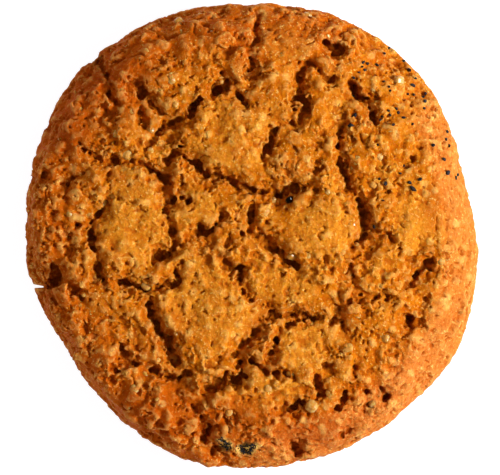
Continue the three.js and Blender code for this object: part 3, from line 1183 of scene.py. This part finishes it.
def crust_finish():
    """Gold and amber crust, russet round the edge but painted paler on the lit side as a sheen, and pale on
    the smooth shoulder, with pale crumbs and painted highlights on their tips, painted shade in creases,
    hollows and cracks, and charred patches."""
    made = Finish("baked_crust")
    plate = made.attribute("plate")
    edge = made.attribute("edge")
    fine_hollow = made.attribute("fine_hollow")
    char = made.attribute("char")
    rough = made.grain(0.38, 5, 0.62)
    lumps = made.lumps(0.5)
    # Painted shade for creases and hollows, ochre in the middle and redder towards the rim
    crease_shade = made.mix(edge, OCHRE_SHADE, TOAST_AND_SHADE)
    # Painted shade for deep hollows and cracks, umber in the middle and redder towards the rim
    hollow_shade = made.mix(edge, UMBER_SHADE, CRACK_SHADE)

    # Broad patches
    patches = made.math("ADD", made.grain(3.2, 4), made.between(plate, 0, 1, -0.06, 0.14))
    base = made.mix(made.between(patches, 0.36, 0.68), AMBER, GOLD)
    base = made.coat(base, made.grain(7), 0.48, 0.72, 0.5, TOAST_AND_SHADE)
    # Russet rim browning, kept off the lit side, which shows a painted sheen
    base = made.coat(base, edge, 0, 1, 0.65, RUSSET)
    base = made.coat(base, made.attribute("shoulder"), 0, 1, 0.7, PALE_SHOULDER)

    # Crumbs and the creases between them: pale tips, partly painted highlight, and painted shade in the
    # creases
    # Pale tips of the grain noise and of the ridges: partly pale crumbs, partly painted highlight
    base = made.coat(base, rough, 0.56, 0.69, 0.72, PALE_CRUMB_AND_HIGHLIGHT)
    base = made.coat(base, rough, 0.47, 0.3, 0.45, crease_shade)
    base = made.coat(base, lumps, 0.45, 0.8, 0.4, crease_shade)
    # Darker patches: painted shade on the upper left, darker crust at the bottom
    base = made.mix(made.math("MULTIPLY", made.attribute("dark_patch"), 0.65), base, TOAST_AND_SHADE)
    base = made.coat(base, made.attribute("grain"), 0.15, 0.7, 0.3, PALE_CRUMB_AND_HIGHLIGHT)

    # Ridges, hollows and cracks: ridges partly pale as painted highlight, painted shade in hollows, valleys
    # and cracks
    base = made.coat(base, fine_hollow, -0.04, -0.24, 0.25, PALE_CRUMB_AND_HIGHLIGHT)
    base = made.coat(base, fine_hollow, 0.03, 0.14, 0.7, crease_shade)
    base = made.coat(base, made.attribute("valley"), 0.1, 0.5, 0.35, crease_shade)
    base = made.coat(base, made.attribute("wide_hollow"), 0.15, 0.6, 0.8, hollow_shade)
    base = made.coat(base, made.attribute("crack"), 0.25, 1, 0.5, hollow_shade)

    # Charred patches, black in spots on paler crust
    base = made.mix(made.math("MULTIPLY", char, 0.75), base, PALE_CRUMB_AND_HIGHLIGHT)
    base = made.mix(made.math("MULTIPLY", char, made.between(made.grain(0.7), 0.45, 0.52)), base, CHAR)

    height = made.math("SUBTRACT", rough, made.math("MULTIPLY", lumps, 0.35))
    bump = made.bump(height, made.between(plate, 0, 1, 0.25 * MM, 0.21 * MM))
    return made.set(Base_Color=base, Roughness=0.5, Specular_IOR_Level=0.015, Subsurface_Weight=0.5,
                    Subsurface_Radius=(1, 0.4, 0.12), Subsurface_Scale=0.18 * MM, Normal=bump)


def sugar_finish():
    made = Finish("sugar_crystal")
    tint = made.mix(made.between(made.grain(1.2, 2), 0.4, 0.65), BROWN_SUGAR, PALE_SUGAR)
    return made.set(Base_Color=tint, Roughness=0.2, Transmission_Weight=0.2, IOR=1.4, Specular_IOR_Level=0.4,
                    Subsurface_Weight=0.8, Subsurface_Radius=(1, 0.6, 0.3), Subsurface_Scale=0.5 * MM,
                    Normal=made.bump(made.grain(0.3, 2), 0.05 * MM))


def spice_finish():
    made = Finish("dark_spice")
    tint = made.mix(made.between(made.grain(0.3, 2), 0.4, 0.7), SPICE_BLACK, SPICE_BROWN)
    return made.set(Base_Color=tint, Roughness=0.5, Specular_IOR_Level=0.15,
                    Normal=made.bump(made.grain(0.15, 2), 0.05 * MM))


def bead_finish():
    made = Finish("glossy_spice")
    tint = made.mix(made.between(made.grain(0.4, 2), 0.4, 0.7), BEAD_BLACK, BEAD_BROWN)
    return made.set(Base_Color=tint, Roughness=0.08, Normal=made.bump(made.grain(0.3, 2), 0.012 * MM))


def paper_finish():
    made = Finish("white_paper")
    tint = made.mix(made.grain(3), PAPER_GREY, PAPER_PALE)
    return made.set(Base_Color=tint, Roughness=0.9, Emission_Color=PAPER_GLOW, Emission_Strength=0.93)


# Stage, in metres: a paper floor just under the base, warm light all round, a softbox and the camera
FLOOR_SIZE = 3
FLOOR_DROP = 0.05 * MM
FILL_COLOUR = colour(1, 0.81, 0.58)
FILL_STRENGTH = 0.55
SOFTBOX_SIZE = 0.16
SOFTBOX_POWER = 5.6
SOFTBOX_COLOUR = (0.96, 1, 1.08)
SOFTBOX_AZIMUTH = math.radians(-3)
SOFTBOX_ELEVATION = math.radians(36)
SOFTBOX_DISTANCE = 0.55
SENSOR_WIDTH = 36
CAMERA_HEIGHT = 0.6


def studio():
    floor = add(bpy.ops.mesh.primitive_plane_add, size=FLOOR_SIZE, location=(0, 0, -FLOOR_DROP))
    floor.name = "floor"
    floor.data.materials.append(paper_finish())

    world = bpy.data.worlds.new("studio_fill")
    world.use_nodes = True
    background = world.node_tree.nodes["Background"]
    background.inputs["Color"].default_value = FILL_COLOUR
    background.inputs["Strength"].default_value = FILL_STRENGTH
    world.cycles_visibility.glossy = False
    bpy.context.scene.world = world

    softbox = bpy.data.lights.new("softbox", "AREA")
    softbox.shape = "DISK"
    softbox.size = SOFTBOX_SIZE
    softbox.energy = SOFTBOX_POWER
    softbox.color = SOFTBOX_COLOUR
    lamp = bpy.data.objects.new("softbox", softbox)
    level = math.cos(SOFTBOX_ELEVATION)
    lamp.location = SOFTBOX_DISTANCE * Vector(
        (math.cos(SOFTBOX_AZIMUTH) * level, math.sin(SOFTBOX_AZIMUTH) * level, math.sin(SOFTBOX_ELEVATION))
    )
    lamp.rotation_euler = (-lamp.location).to_track_quat("-Z", "Y").to_euler()
    bpy.context.scene.collection.objects.link(lamp)


def camera():
    """Looks straight down, with a lens that gives a pixel its size at the height of the waist."""
    eye = bpy.data.cameras.new("camera")
    eye.sensor_width = SENSOR_WIDTH
    frame_width = PHOTO_WIDTH * PIXEL_MM * MM
    eye.lens = eye.sensor_width * (CAMERA_HEIGHT - WAIST_HEIGHT * MM) / frame_width
    seat = bpy.data.objects.new("camera", eye)
    middle = on_biscuit((PHOTO_WIDTH / 2, PHOTO_HEIGHT / 2)) * MM
    seat.location = (*middle, CAMERA_HEIGHT)
    bpy.context.scene.collection.objects.link(seat)
    bpy.context.scene.camera = seat
    bpy.context.scene.view_settings.view_transform = "Standard"


def place_piece(piece, finish):
    """Sets a piece in metres, with its finish, on the biscuit's body."""
    piece.data.transform(Matrix.Scale(MM, 4))
    piece.data.update()
    piece.data.materials.clear()
    piece.data.materials.append(finish)
    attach(piece, "root")


studio()
camera()
crust = baked_crust()
surface = surface_of(crust)
grains = sugar_grains(surface)
specks = spice_specks(surface)
bead = spice_bead(surface)
place_piece(crust, crust_finish())
place_piece(grains, sugar_finish())
place_piece(specks, spice_finish())
place_piece(bead, bead_finish())
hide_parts("biscuit")
